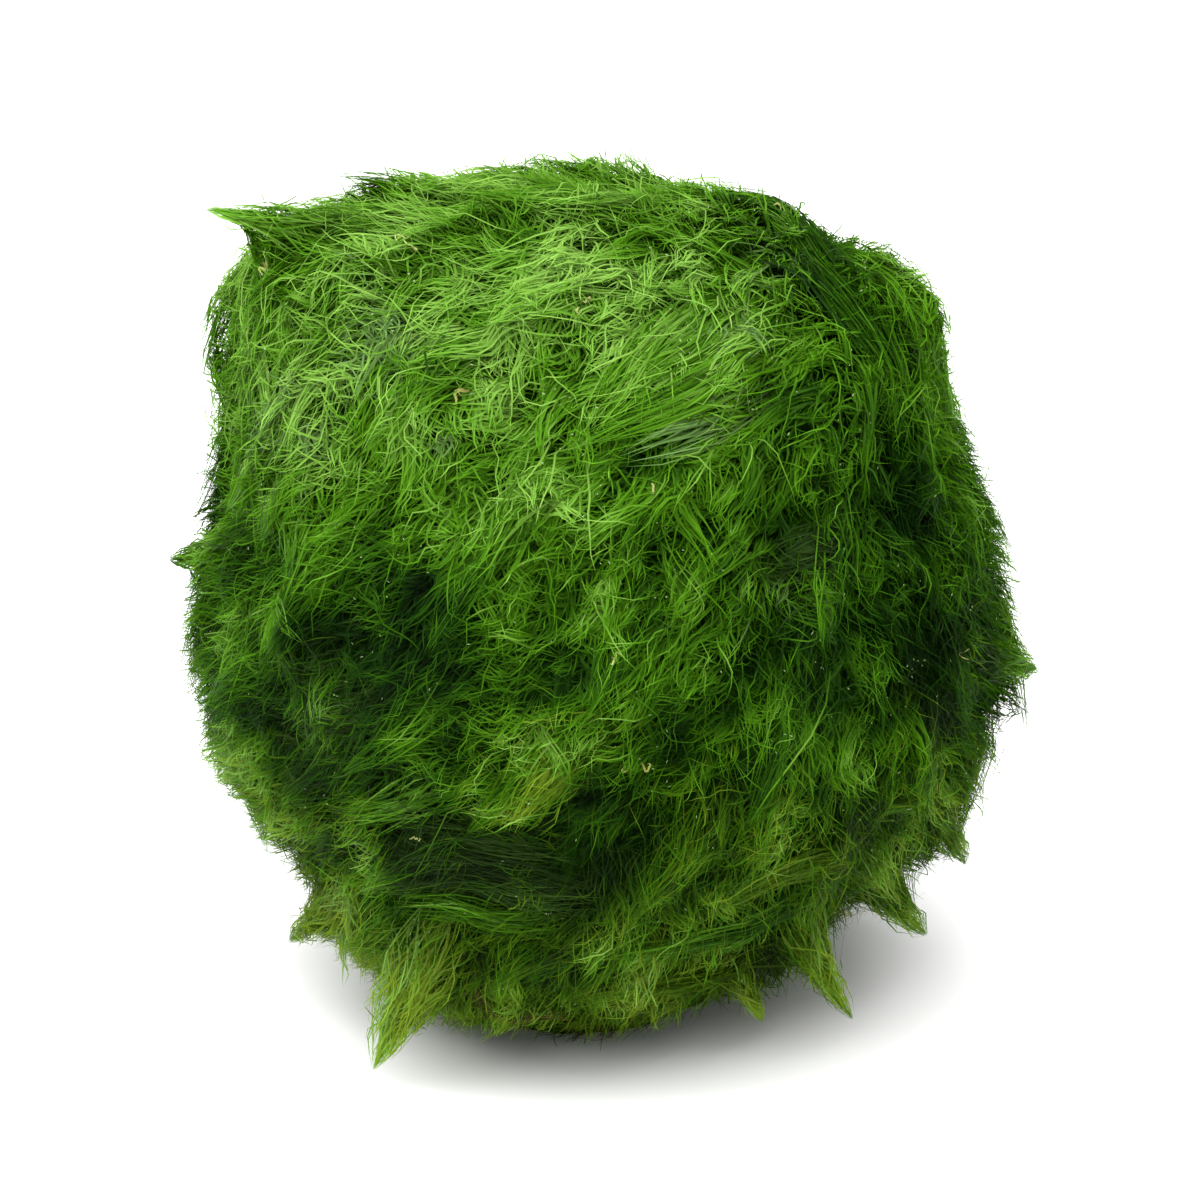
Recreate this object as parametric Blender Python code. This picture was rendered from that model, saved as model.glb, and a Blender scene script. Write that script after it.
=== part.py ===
"""Marimo moss ball: a lumpy ball of felted green algae that rests on a small flat spot.

Metres, +Z up, the origin on the floor under the middle of the ball's box. The ball is one solid,
because it grew as one piece: a lumpy body with combed locks and hanging tufts fused to it.
Shapes are worked out in millimetres around the ball's centre and turned into metres once.
"""

import math

import bmesh
import bpy
import numpy as np
from mathutils import Matrix, Vector, noise

MM = 0.001

# The outline of the ball to the tips of its filaments, as seen from the front and a little above
VIEW_TILT = math.radians(22.0)
OUTLINE = (  # angle from the right, anticlockwise, in degrees, and reach in mm
    (0, 24.8), (20, 23.8), (43, 27.2), (53, 27.4), (64, 26.2), (80, 26.2), (103, 26.6),
    (120, 28.8), (133, 31.6), (147, 26.8), (163, 24.0), (184, 24.6), (200, 24.8), (220, 23.6),
    (238, 27.0), (266, 27.0), (292, 25.4), (308, 24.4), (326, 25.2), (346, 25.9),
)
OUTLINE_BLUR = 9.0  # degrees
FRONT_REACH = 25.2
BACK_REACH = 24.6
FUZZ = 1.0  # how far the filaments stand off the matted body
CENTRE_HEIGHT = 24.2  # the flat spot is cut this far below the centre

# Lumps and hollows: across and up in the view, 1 for the near side and -1 for the far side, mm, degrees
LUMPS = (
    (-15, 7, 1, 1.0, 20), (-2, 9, 1, 1.2, 20), (9, 15, 1, 1.1, 18), (9, 3, 1, -1.5, 18),
    (-11, -15, 1, -1.1, 13), (-13, -21, 1, 1.0, 14), (14, -10, 1, 0.9, 20), (-16, -3, 1, 0.7, 16),
    (0, -22, 1, 0.6, 16), (-12, 12, -1, 1.0, 22), (10, 6, -1, 1.2, 20), (-4, -4, -1, -1.3, 18),
    (-15, -12, -1, 0.9, 18), (12, -14, -1, 0.8, 18), (2, 20, -1, -0.8, 16), (12, 22, 1, 1.3, 13),
)
CLUMP_SIZE, CLUMP_HEIGHT = 11.0, 0.9  # the broad clumps, in mm
RIDGE_SIZE, RIDGE_HEIGHT = 3.6, 3.2  # the combed ridges between the locks, in mm
RIDGE_STEPS, RIDGE_STEP = 3, 1.4  # a ridge is drawn out along the combing by this many steps each way
SMOOTH_BELOW = (-0.82, -0.94)  # over the flat spot the ridges fade out between these directions' heights

# Combing: across and up in the view, and the heading of the filaments there in degrees
FRONT_COMBING = (
    (-19, 21, 176), (-6, 24, 172), (8, 24, 150), (-5, 16, 258), (5, 15, 250), (13, 14, 212),
    (2, 9, 205), (-10, 15, 190), (-20, 12, 228), (-22, 3, 194), (-21, -7, 205), (-14, 3, 262),
    (-8, -2, 250), (0, 1, 262), (8, 2, 246), (16, 8, 285), (22, 2, 275), (18, -6, 282),
    (10, -8, 232), (0, -10, 218), (-10, -8, 214), (-14, -15, 186), (-4, -17, 190), (6, -20, 196),
    (-10, -22, 248), (13, -18, 312), (19, -12, 300), (16, 20, 330),
)
BACK_COMBING = (
    (0, 17, 262), (-14, 13, 228), (14, 13, 302), (-19, 0, 250), (0, 2, 282), (18, 0, 262),
    (-10, -10, 205), (8, -10, 312), (0, -20, 240), (-16, -16, 212), (16, -14, 322),
)
COMBING_SPREAD = math.radians(20.0)
HANG = 0.02  # how much the filaments hang down where no combing reaches
EDGE_OF_VIEW = 0.995  # share of the outline's reach at which a place counts as on the very edge

# Locks spread evenly over the ball
LOCK_COUNT = 84
LOCK_LENGTH = (9.0, 14.0)
LOCK_WIDTH = (4.0, 6.2)
LOCK_THICKNESS = 2.3
LOCK_ROOT_DEPTH = 0.9
LOCK_TIP_LIFT = (0.8, 2.0)
LOCK_LIFT_POWER = 1.5  # a lock hugs the body first and lifts off late
LOCK_STIFFNESS = 1.2  # share of its heading that a lock keeps where the combing turns
LOWEST_LOCK = -19.0  # mm from the centre, so that none grows out of the flat spot
RANDOM_SEED = 7

# Tufts that stand out: root across and up in the view, side, then the tip's x, y and z above the floor
TUFTS = (
    ((-9.5, -19.5, 1), (-13.4, -16.8, 1.1), 5.4),
    ((-15.5, -18.0, 1), (-18.6, -4.6, 3.9), 2.6),
    ((11.4, -19.4, 1), (15.0, -12.0, 2.2), 3.4),
    ((7.6, -21.6, 1), (9.7, -12.2, 2.1), 2.0),
    ((15.2, -15.6, 1), (19.6, -4.0, 4.1), 3.6),
    ((19.6, -11.4, 1), (22.0, -2.0, 7.9), 2.4),
    ((22.0, -3.0, 1), (26.0, -1.0, 20.2), 2.8),
    ((-20.0, 3.5, 1), (-25.6, -2.0, 27.6), 3.0),
    ((-13.0, 23.0, 1), (-23.2, 0.5, 48.8), 4.4),
    ((-12.0, -17.0, -1), (-14.6, 12.6, 2.4), 4.2),
    ((13.0, -15.0, -1), (15.6, 13.8, 2.6), 3.6),
    ((2.0, -19.0, -1), (1.4, 21.4, 5.0), 3.0),
    ((-19.0, -4.0, -1), (-22.4, 11.6, 12.0), 3.0),
    ((17.0, 8.0, -1), (22.4, 12.4, 27.0), 3.0),
)
LOWEST_TUFT = 0.5  # mm above the floor
TUFT_ROOT_DEPTH = 1.0
TUFT_THICKNESS = 2.76
TUFT_BEND = 0.55  # where along its way over the body a tuft turns off, as a share
TUFT_BEND_LIFT = 0.6

LOCK_SIDES = 4
LOCK_RINGS = (  # share of the length, and share of the full width there
    (0.0, 0.60), (0.28, 1.0), (0.58, 0.84), (0.84, 0.46),
)
BODY_CUTS = 13  # cuts along each edge of the twenty-sided ball that the body starts from
SNAP_TO_FOOT = 0.25 * MM

MOSS_COLOUR = (0.075, 0.180, 0.020, 1.0)
MOSS_ROUGHNESS = 0.62


def clear_scene():
    for item in list(bpy.data.objects):
        bpy.data.objects.remove(item, do_unlink=True)


def from_view(across, up, toward):
    """A vector given in the view's own axes, turned into the ball's axes."""
    sine, cosine = math.sin(VIEW_TILT), math.cos(VIEW_TILT)
    return Vector((across, up * sine - toward * cosine, up * cosine + toward * sine))


def in_view(direction):
    """The view's across, up and toward parts of a vector in the ball's axes."""
    sine, cosine = math.sin(VIEW_TILT), math.cos(VIEW_TILT)
    up = direction.y * sine + direction.z * cosine
    return direction.x, up, direction.z * sine - direction.y * cosine


def outline_reach(angle):
    """The outline's reach at an angle in degrees, as a smooth mean of the nearby points."""
    total = 0.0
    weight = 0.0
    for point_angle, reach in OUTLINE:
        turn = (angle - point_angle + 180.0) % 360.0 - 180.0
        share = math.exp(-((turn / OUTLINE_BLUR) ** 2) / 2)
        total += share * reach
        weight += share
    return total / weight


def on_ball(across, up, side):
    """The direction of a point of the ball seen at this place in the view."""
    flat = math.hypot(across, up)
    reach = outline_reach(math.degrees(math.atan2(up, across)))
    flat_share = min(flat / reach, EDGE_OF_VIEW)
    toward = side * reach * math.sqrt(1.0 - flat_share**2)
    return from_view(across, up, toward).normalized()


CENTRE = Vector((0.0, 0.0, CENTRE_HEIGHT))
LUMP_SPOTS = [(on_ball(a, u, side), height, math.radians(s)) for a, u, side, height, s in LUMPS]


def heading_at(direction, degrees):
    """The unit tangent at a direction that runs along a heading of the view."""
    turn = math.radians(degrees)
    along = from_view(math.cos(turn), math.sin(turn), 0.0)
    return (along - direction * along.dot(direction)).normalized()


def combing_spots():
    spots = []
    for side, strokes in ((1, FRONT_COMBING), (-1, BACK_COMBING)):
        for across, up, degrees in strokes:
            direction = on_ball(across, up, side)
            spots.append((direction, heading_at(direction, degrees)))
    return spots


COMBING_SPOTS = combing_spots()


def combing_flow(direction):
    """The way the filaments lie at a direction. It is short where two combings meet."""
    flow = Vector((0.0, 0.0, -HANG))
    for spot, heading in COMBING_SPOTS:
        apart = direction.angle(spot) / COMBING_SPREAD
        flow += heading * math.exp(-apart * apart / 2)
    return flow - direction * flow.dot(direction)


def body_reach(direction):
    """How far the matted body reaches from the centre, in mm."""
    across, up, toward = in_view(direction)
    outline = outline_reach(math.degrees(math.atan2(up, across)))
    depth = FRONT_REACH if toward > 0 else BACK_REACH
    reach = outline * (1.0 - toward**2) + depth * toward**2 - FUZZ
    for spot, height, spread in LUMP_SPOTS:
        apart = direction.angle(spot) / spread
        reach += height * math.exp(-apart * apart / 2)
    return reach + CLUMP_HEIGHT * noise.noise(direction * (reach / CLUMP_SIZE))


def ridge_height(direction):
    """Fine noise drawn out along the combing, so that it makes ridges that run with the filaments."""
    total = noise.noise(direction * (FRONT_REACH / RIDGE_SIZE))
    for way in (1, -1):
        place = direction
        for _ in range(RIDGE_STEPS):
            heading = combing_flow(place).normalized() * way
            place = (place + heading * (RIDGE_STEP / FRONT_REACH)).normalized()
            total += noise.noise(place * (FRONT_REACH / RIDGE_SIZE))
    first, last = SMOOTH_BELOW
    kept = min(max((direction.z - last) / (first - last), 0.0), 1.0)
    return kept * RIDGE_HEIGHT * total / (2 * RIDGE_STEPS + 1)


def make_body():
    """The matted body: a fine round ball pushed out to its lumpy reach and cut off flat below."""
    shape = bmesh.new()
    bmesh.ops.create_icosphere(shape, subdivisions=1, radius=1.0)
    bmesh.ops.subdivide_edges(shape, edges=shape.edges[:], cuts=BODY_CUTS, use_grid_fill=True)
    for vertex in shape.verts:
        direction = vertex.co.normalized()
        vertex.co = direction * (body_reach(direction) + ridge_height(direction)) * MM
        vertex.co.z += CENTRE_HEIGHT * MM
    everything = shape.verts[:] + shape.edges[:] + shape.faces[:]
    cut = bmesh.ops.bisect_plane(
        shape, geom=everything, dist=SNAP_TO_FOOT, plane_co=(0, 0, 0), plane_no=(0, 0, 1),
        clear_inner=True,
    )
    rim = [item for item in cut["geom_cut"] if isinstance(item, bmesh.types.BMEdge)]
    for edge in rim:
        for vertex in edge.verts:
            vertex.co.z = 0.0
    bmesh.ops.holes_fill(shape, edges=rim)
    bmesh.ops.recalc_face_normals(shape, faces=shape.faces[:])
    return finish_object("moss_ball", shape)


def finish_object(name, shape):
    mesh = bpy.data.meshes.new(name)
    shape.to_mesh(mesh)
    shape.free()
    made = bpy.data.objects.new(name, mesh)
    bpy.context.scene.collection.objects.link(made)
    return made


def lock_rings(points, normals, width, thickness):
    """Each ring's placing matrix along a lock: flat across the ball, thin along its normal."""
    rings = []
    for index, (_, share) in enumerate(LOCK_RINGS):
        along = (points[index + 1] - points[max(index - 1, 0)]).normalized()
        side = along.cross(normals[index]).normalized()
        outward = side.cross(along).normalized()
        axes = Matrix((side * width * share / 2, outward * thickness * share / 2, along))
        rings.append(Matrix.Translation(points[index]) @ axes.transposed().to_4x4())
    return rings


def make_lock(name, points, normals, width, thickness):
    """One tapering lock through its points, the last of which is its tip."""
    shape = bmesh.new()
    rings = []
    for placing in lock_rings(points, normals, width, thickness):
        circle = bmesh.ops.create_circle(
            shape, segments=LOCK_SIDES, radius=1.0, matrix=placing
        )
        rings.append(circle["verts"])
    tip = shape.verts.new(points[-1])
    shape.faces.new(rings[0])
    for side in range(LOCK_SIDES):
        after = (side + 1) % LOCK_SIDES
        for near, far in zip(rings, rings[1:]):
            shape.faces.new((near[side], near[after], far[after], far[side]))
        shape.faces.new((rings[-1][side], rings[-1][after], tip))
    for vertex in shape.verts:
        vertex.co *= MM
    bmesh.ops.recalc_face_normals(shape, faces=shape.faces[:])
    lock = finish_object(name, shape)
    lock.hide_render = True
    lock.display_type = "WIRE"
    return lock


def spread_directions(count):
    """Evenly spread directions on a turning spiral from the top down."""
    golden_turn = math.pi * (3.0 - math.sqrt(5.0))
    for index in range(count):
        height = 1.0 - 2.0 * (index + 0.5) / count
        flat = math.sqrt(1.0 - height * height)
        turn = index * golden_turn
        yield Vector((flat * math.cos(turn), flat * math.sin(turn), height))


def lock_path(start, length, tip_lift):
    """A path that sets out under the surface, follows the combing and lifts off at its tip."""
    shares = [share for share, _ in LOCK_RINGS] + [1.0]
    direction = start
    heading = combing_flow(start).normalized()
    points = []
    normals = []
    for index, share in enumerate(shares):
        if index:
            step = length * (share - shares[index - 1])
            direction = (direction + heading * (step / body_reach(direction))).normalized()
            heading = heading * LOCK_STIFFNESS + combing_flow(direction)
            heading = (heading - direction * heading.dot(direction)).normalized()
        lift = (tip_lift + LOCK_ROOT_DEPTH) * share**LOCK_LIFT_POWER - LOCK_ROOT_DEPTH
        points.append(CENTRE + direction * (body_reach(direction) + lift))
        normals.append(direction)
    return points, normals


def make_locks(random):
    locks = []
    for index, start in enumerate(spread_directions(LOCK_COUNT)):
        length = random.uniform(*LOCK_LENGTH)
        width = random.uniform(*LOCK_WIDTH)
        tip_lift = random.uniform(*LOCK_TIP_LIFT)
        points, normals = lock_path(start, length, tip_lift)
        lowest = min(point.z - CENTRE_HEIGHT for point in points)
        if lowest < LOWEST_LOCK:
            continue
        locks.append(make_lock(f"lock_{index}", points, normals, width, LOCK_THICKNESS))
    return locks


def tuft_path(root, tip):
    """A path from under the surface at the root, along the ball, and out to the tip."""
    start_direction = on_ball(*root)
    start = CENTRE + start_direction * (body_reach(start_direction) - TUFT_ROOT_DEPTH)
    end = Vector(tip)
    end_direction = (end - CENTRE).normalized()
    middle_direction = start_direction.lerp(end_direction, TUFT_BEND).normalized()
    middle = CENTRE + middle_direction * (body_reach(middle_direction) + TUFT_BEND_LIFT)
    points = []
    normals = []
    for share in [share for share, _ in LOCK_RINGS] + [1.0]:
        point = start * (1 - share) ** 2 + middle * 2 * share * (1 - share) + end * share**2
        point.z = max(point.z, LOWEST_TUFT + LOCK_THICKNESS * (1 - share))
        points.append(point)
        normals.append((point - CENTRE).normalized())
    return points, normals


def make_tufts():
    tufts = []
    for index, (root, tip, width) in enumerate(TUFTS):
        points, normals = tuft_path(root, tip)
        tufts.append(make_lock(f"tuft_{index}", points, normals, width, TUFT_THICKNESS))
    return tufts


def fuse(body, growths):
    """Joins the locks and tufts to the body as one solid."""
    group = bpy.data.collections.new("locks")
    bpy.context.scene.collection.children.link(group)
    for growth in growths:
        bpy.context.scene.collection.objects.unlink(growth)
        group.objects.link(growth)
    union = body.modifiers.new("Fused locks", "BOOLEAN")
    union.operation = "UNION"
    union.operand_type = "COLLECTION"
    union.collection = group
    union.solver = "EXACT"


def centre_on_origin(body):
    """Moves the ball so that the middle of its box is over the origin."""
    graph = bpy.context.evaluated_depsgraph_get()
    mesh = body.evaluated_get(graph).to_mesh()
    places = np.array([vertex.co for vertex in mesh.vertices])
    middle = (places.min(axis=0) + places.max(axis=0)) / 2
    offset = Vector((-middle[0], -middle[1], 0.0))
    for item in bpy.data.objects:
        item.location = offset


def moss_material():
    moss = bpy.data.materials.new("moss")
    moss.use_nodes = True
    surface = moss.node_tree.nodes["Principled BSDF"]
    surface.inputs["Base Color"].default_value = MOSS_COLOUR
    surface.inputs["Roughness"].default_value = MOSS_ROUGHNESS
    surface.inputs["Metallic"].default_value = 0.0
    moss.diffuse_color = MOSS_COLOUR
    return moss


def main():
    clear_scene()
    body = make_body()
    body.data.materials.append(moss_material())
    body.data.shade_smooth()
    random = np.random.default_rng(RANDOM_SEED)
    fuse(body, make_locks(random) + make_tufts())
    centre_on_origin(body)


main()
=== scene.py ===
"""Looks of the marimo moss ball: a dark felted mat and the filaments combed over it.

The filaments are thin ribbons in joined meshes. They follow the same outline, combing, locks and
tufts as the solid, and end within a millimetre of its box. Shapes are worked out in millimetres
around the ball's centre and turned into metres once. Nothing random is left unseeded.
"""

import math

import bmesh
import bpy
import numpy as np
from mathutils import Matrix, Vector, noise
from mathutils.bvhtree import BVHTree


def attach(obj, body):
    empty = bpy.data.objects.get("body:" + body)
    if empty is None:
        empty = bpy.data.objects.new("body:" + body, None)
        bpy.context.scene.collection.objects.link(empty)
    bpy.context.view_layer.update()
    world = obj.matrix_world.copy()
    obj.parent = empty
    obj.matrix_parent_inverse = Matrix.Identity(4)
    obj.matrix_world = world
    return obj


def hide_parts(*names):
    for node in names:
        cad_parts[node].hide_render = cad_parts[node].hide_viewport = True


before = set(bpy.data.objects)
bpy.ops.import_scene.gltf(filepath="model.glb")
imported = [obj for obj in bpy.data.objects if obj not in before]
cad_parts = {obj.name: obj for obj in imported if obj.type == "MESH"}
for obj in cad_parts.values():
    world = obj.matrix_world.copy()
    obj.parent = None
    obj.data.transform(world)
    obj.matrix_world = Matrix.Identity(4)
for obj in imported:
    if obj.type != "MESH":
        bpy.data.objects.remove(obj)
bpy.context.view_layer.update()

MM = 0.001

# The ball's form, with the solid's own values
VIEW_TILT = math.radians(22.0)
OUTLINE = (  # angle from the right, anticlockwise, in degrees, and reach in mm
    (0, 24.8), (20, 23.8), (43, 27.2), (53, 27.4), (64, 26.2), (80, 26.2), (103, 26.6),
    (120, 28.8), (133, 31.6), (147, 26.8), (163, 24.0), (184, 24.6), (200, 24.8), (220, 23.6),
    (238, 27.0), (266, 27.0), (292, 25.4), (308, 24.4), (326, 25.2), (346, 25.9),
)
OUTLINE_BLUR = 9.0  # degrees
FRONT_REACH = 25.2
BACK_REACH = 24.6
FUZZ = 1.0  # how far the filaments stand off the matted body
CENTRE_HEIGHT = 24.2  # the flat spot is cut this far below the centre
CENTRE_SHIFT = (-0.204, 0.013)  # mm, because the origin is under the middle of the solid's box
LUMPS = (  # across and up in the view, side, height in mm, spread in degrees
    (-15, 7, 1, 1.0, 20), (-2, 9, 1, 1.2, 20), (9, 15, 1, 1.1, 18), (9, 3, 1, -1.5, 18),
    (-11, -15, 1, -1.1, 13), (-13, -21, 1, 1.0, 14), (14, -10, 1, 0.9, 20), (-16, -3, 1, 0.7, 16),
    (0, -22, 1, 0.6, 16), (-12, 12, -1, 1.0, 22), (10, 6, -1, 1.2, 20), (-4, -4, -1, -1.3, 18),
    (-15, -12, -1, 0.9, 18), (12, -14, -1, 0.8, 18), (2, 20, -1, -0.8, 16), (12, 22, 1, 1.3, 13),
)
CLUMP_SIZE, CLUMP_HEIGHT = 11.0, 0.9  # the broad clumps, in mm
FRONT_COMBING = (  # across and up in the view, and the heading there in degrees
    (-19, 21, 176), (-6, 24, 172), (8, 24, 150), (-5, 16, 258), (5, 15, 250), (13, 14, 212),
    (2, 9, 205), (-10, 15, 190), (-20, 12, 228), (-22, 3, 194), (-21, -7, 205), (-14, 3, 262),
    (-8, -2, 250), (0, 1, 262), (8, 2, 246), (16, 8, 285), (22, 2, 275), (18, -6, 282),
    (10, -8, 232), (0, -10, 218), (-10, -8, 214), (-14, -15, 186), (-4, -17, 190), (6, -20, 196),
    (-10, -22, 248), (13, -18, 312), (19, -12, 300), (16, 20, 330),
)
BACK_COMBING = (
    (0, 17, 262), (-14, 13, 228), (14, 13, 302), (-19, 0, 250), (0, 2, 282), (18, 0, 262),
    (-10, -10, 205), (8, -10, 312), (0, -20, 240), (-16, -16, 212), (16, -14, 322),
)
COMBING_SPREAD = math.radians(20.0)
HANG = 0.02  # how much the filaments hang down where no combing reaches
EDGE_OF_VIEW = 0.995  # share of the outline's reach at which a place counts as on the very edge

# The locks and tufts, with the solid's own values
LOCK_COUNT = 84
LOCK_LENGTH = (9.0, 14.0)
LOCK_WIDTH = (4.0, 6.2)
LOCK_THICKNESS = 2.3
LOCK_ROOT_DEPTH = 0.9
LOCK_TIP_LIFT = (0.8, 2.0)
LOCK_LIFT_POWER = 1.5  # a lock hugs the body first and lifts off late
LOCK_STIFFNESS = 1.2  # share of its heading that a lock keeps where the combing turns
LOWEST_LOCK = -19.0  # mm from the centre, so that none grows out of the flat spot
LOCK_SEED = 7
LOCK_RINGS = (  # share of the length, and share of the full width there
    (0.0, 0.60), (0.28, 1.0), (0.58, 0.84), (0.84, 0.46), (1.0, 0.04),
)
# Root across and up in the view, side, then the tip's x, y and z above the floor, and the width
TUFTS = (
    ((-9.5, -19.5, 1), (-13.4, -16.8, 1.1), 5.4), ((-15.5, -18.0, 1), (-18.6, -4.6, 3.9), 2.6),
    ((11.4, -19.4, 1), (15.0, -12.0, 2.2), 3.4), ((7.6, -21.6, 1), (9.7, -12.2, 2.1), 2.0),
    ((15.2, -15.6, 1), (19.6, -4.0, 4.1), 3.6), ((19.6, -11.4, 1), (22.0, -2.0, 7.9), 2.4),
    ((22.0, -3.0, 1), (26.0, -1.0, 20.2), 2.8), ((-20.0, 3.5, 1), (-25.6, -2.0, 27.6), 3.0),
    ((-13.0, 23.0, 1), (-23.2, 0.5, 48.8), 4.4), ((-12.0, -17.0, -1), (-14.6, 12.6, 2.4), 4.2),
    ((13.0, -15.0, -1), (15.6, 13.8, 2.6), 3.6), ((2.0, -19.0, -1), (1.4, 21.4, 5.0), 3.0),
    ((-19.0, -4.0, -1), (-22.4, 11.6, 12.0), 3.0), ((17.0, 8.0, -1), (22.4, 12.4, 27.0), 3.0),
)
LOWEST_TUFT = 0.5  # mm above the floor
TUFT_ROOT_DEPTH = 1.0
TUFT_THICKNESS = 2.76
TUFT_BEND = 0.55  # where along its way over the body a tuft turns off, as a share
TUFT_BEND_LIFT = 0.6

# Noise: the ball's rough reach in mm, and where in the noise each pattern is read, so that no two
# of them are alike
NOISE_REACH = 25.0
SWIRLS = ((65.0, 6.5, 0.0), (40.0, 3.2, 40.0))  # turn in degrees, size in mm, place in the noise
STREAK_PLACE, SPECKLE_PLACE, PATCH_PLACE = 60.0, 30.0, 90.0
OLIVE_PLACE, WET_SHEEN_PLACE, GLINT_PLACE = 7.0, 17.0, 80.0

# The solid's reach is read from outside the ball, and its narrow valleys are partly filled in
GRID_ROWS, GRID_COLUMNS = 181, 361
RAY_START = 0.06  # metres from the centre
FILL_CELLS = 7  # half the widest valley that is filled in
FILL_SHARE = 0.3
BLUR_PASSES = 2
DEEPEST_VALLEY = 2.0  # mm
TOP_START, TOP_SPAN = 0.1, 0.5  # directions' heights over which the long coat of the top sets in
LOW_SIZE, TOP_GAIN = 0.66, 0.30  # share of a filament's full size low down, and more on top

# The mat under the filaments, dark green, darker than the moss's own, as painted shade deep in the
# coat
MAT_DEPTH = 1.9  # mm under the solid's surface, and none where the ball rests
MAT_FOOT, MAT_FOOT_SPAN = -0.935, 0.08  # directions' heights over which it reaches its full depth
MAT_RELIEF, MAT_RELIEF_SIZE = 0.35, 1.6  # mm
LOWEST_MAT = 0.05  # mm above the floor
MAT_COLOURS = (
    (0.3, (0.002, 0.010, 0.0005)), (0.55, (0.008, 0.032, 0.001)), (0.8, (0.022, 0.070, 0.002)),
)

# Filaments
SEED = 21
LOWEST_FILAMENT = 0.12  # mm above the floor
FOOT_HEIGHT = -0.95  # no filament grows from directions lower than this
CLIMB = 6.0  # how soon a filament has left its root, against its length
TAPER = ((0.0, 0.5, 1.0), (0.75, 1.0, 0.3))  # shares of the length, and of the width there
WIDTH_SPREAD = (0.65, 1.2)
ROLL = 0.55  # most that a ribbon is turned out of the ball's surface, in radians
KEY_HALF_WIDTH = 1 / 400  # how far each side of a ribbon lies from its colour in the colour map
V_ROOT, V_LENGTH = 0.02, 0.96  # where the roots lie in the painted shade from root to tip, and its length
UNDERCOAT_COUNT = 16000
FELT_COUNT = 27000
CLUMP_COUNT = 1800
CLUMP_STRANDS = 15
FEATHER_COUNT = 4300
FEATHER_STRANDS = 11
LOOSE_COUNT = 3600
FUZZ_COUNT = 16000
CURL_STRANDS = 2
GLINT_COUNT = 2600
LOCK_STRANDS, LOCK_STRANDS_WIDTH = 75, 5.0  # filaments in a lock that is this wide in mm
TUFT_STRANDS, TUFT_STRANDS_WIDTH = 170, 3.5
LOCK_BRIGHTER = 0.03
TUFT_PAINTED_LIGHT = ((5.0, 16.0), (0.40, 0.10))  # painted light, most on tufts low by the floor: tips' heights in mm, and how much brighter there
ROUND_SPREAD, ROUND_RIM = 0.7, 1.3  # shares of a lock's half width
# Painted shade along a groove in each lock and tuft: its place and width in shares of the half
# width, and how much darker
GROOVE_PLACE, GROOVE_WIDTH, GROOVE_SHADE = 0.1, 0.15, -0.3
PIECE_TRIANGLES = 190000

# Tone of the coat, from 0 for dark to 1 for bright, and what changes it, painted light and shade
# among it
COAT_TONE = 0.535
DEPTH_SHADE_TONE, HIGHEST_TONED = 0.10, 0.5  # painted shade and light: darker for each mm that a point lies deep in the coat, lighter for each mm above it, up to this height
PATCH_TONE, PATCH_SIZE = 0.14, 5.0  # sizes in mm
SPECKLE_TONE, SPECKLE_SIZE = 0.18, 1.3
# Streaks and tussocks: partly the coat's own tone, partly painted shade, darker where the coat
# lies lower in their furrows
STREAK_TONE, STREAK_SIZE, STREAK_STEPS, STREAK_STEP = 0.06, 1.4, 3, 0.7
TUSSOCK_TONE, TUSSOCK_SIZE, TUSSOCK_STEPS, TUSSOCK_STEP = 0.21, 3.4, 2, 1.1
VALLEY_SHADE = 0.18  # painted shade: darker for each mm that a valley is deep
CONTRAST, CONTRAST_OFF_TOP = 1.15, 0.5
# Painted light: the top of the ball lighter, where the light falls from above
TOP_PAINTED_LIGHT = 0.17

# Shares of the filaments in each band, by the height of their roots' directions and by noise
OLIVE_SHARE, OLIVE_LOST_UP, OLIVE_NOISE, OLIVE_PACE, MOST_OLIVE = 0.12, 0.9, 0.5, 3.0, 0.9
WET_SHEEN_SHARE, WET_SHEEN_NOISE, WET_SHEEN_NOISE_LESS, WET_SHEEN_NOISE_SIZE = 0.7, 2.0, 1.15, 4.5
BROWN_HEIGHT, BROWN_GAIN_DOWN, MOST_BROWN = -0.80, 6.0, 0.7

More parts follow.
